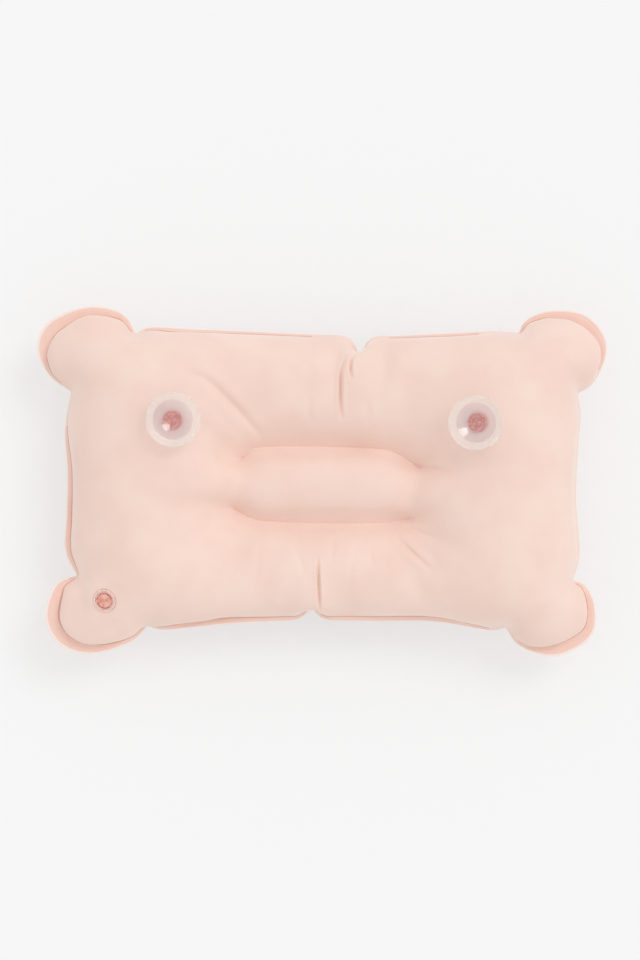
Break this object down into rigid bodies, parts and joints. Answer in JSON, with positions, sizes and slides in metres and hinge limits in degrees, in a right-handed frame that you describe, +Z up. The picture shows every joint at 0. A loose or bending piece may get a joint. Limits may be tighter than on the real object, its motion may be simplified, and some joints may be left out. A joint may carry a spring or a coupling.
{
  "type": "bath pillow",
  "caption": "Inflatable bath pillow with round ears, a welded island in the middle, clear suction cups in collars and a recessed inflation valve.",
  "frame": {"origin": "on the surface that the pillow lies on, below the middle of its outline", "axes": "+X along the pillow's length, with the valve towards -X; +Y across it, towards the suction cups; +Z up, out of the back sheet"},
  "size_m": [0.3872, 0.2376, 0.0944],
  "materials": {
    "flocked_vinyl": "matte flocking on vinyl sheet",
    "collar_vinyl": "moulded soft vinyl",
    "clear_vinyl": "moulded clear soft vinyl",
    "valve_vinyl": "moulded soft vinyl"
  },
  "bodies": {
    "pillow": {"back_sheet": "flocked_vinyl", "front_sheet": "flocked_vinyl", "cup_collar_left": "collar_vinyl", "cup_collar_right": "collar_vinyl", "valve_base": "valve_vinyl"},
    "cup_left": {"suction_cup_left": "clear_vinyl"},
    "cup_right": {"suction_cup_right": "clear_vinyl"},
    "stem": {"valve_stem": "valve_vinyl", "valve_skirt": "valve_vinyl"},
    "plug": {"valve_plug": "valve_vinyl", "valve_strap": "valve_vinyl"},
    "flap": {"valve_flap": "valve_vinyl"}
  },
  "joints": [
    {"name": "cup_left_swivel", "type": "hinge", "parent": "pillow", "child": "cup_left", "pos_m": [-0.1, 0.041, 0.07849], "axis": [0.0836, 0.0209, 0.9963], "continuous": true},
    {"name": "cup_right_swivel", "type": "hinge", "parent": "pillow", "child": "cup_right", "pos_m": [0.104, 0.0395, 0.07844], "axis": [-0.1505, -0.0346, 0.988], "continuous": true},
    {"name": "stem_slide", "type": "slide", "parent": "pillow", "child": "stem", "axis": [-0.2804, -0.2206, 0.9342], "range_m": [0, 0.011], "deforming": ["valve_skirt"]},
    {"name": "plug_swing", "type": "hinge", "parent": "stem", "child": "plug", "pos_m": [-0.1521, -0.08, 0.06436], "axis": [0.032, -0.9748, -0.2206], "range_deg": [0, 120]},
    {"name": "flap_swing", "type": "hinge", "parent": "stem", "child": "flap", "pos_m": [-0.14666, -0.0769, 0.05142], "axis": [-0.032, 0.9748, 0.2206], "range_deg": [0, 60], "stiffness_Nm_per_rad": 0.0001}
  ]
}
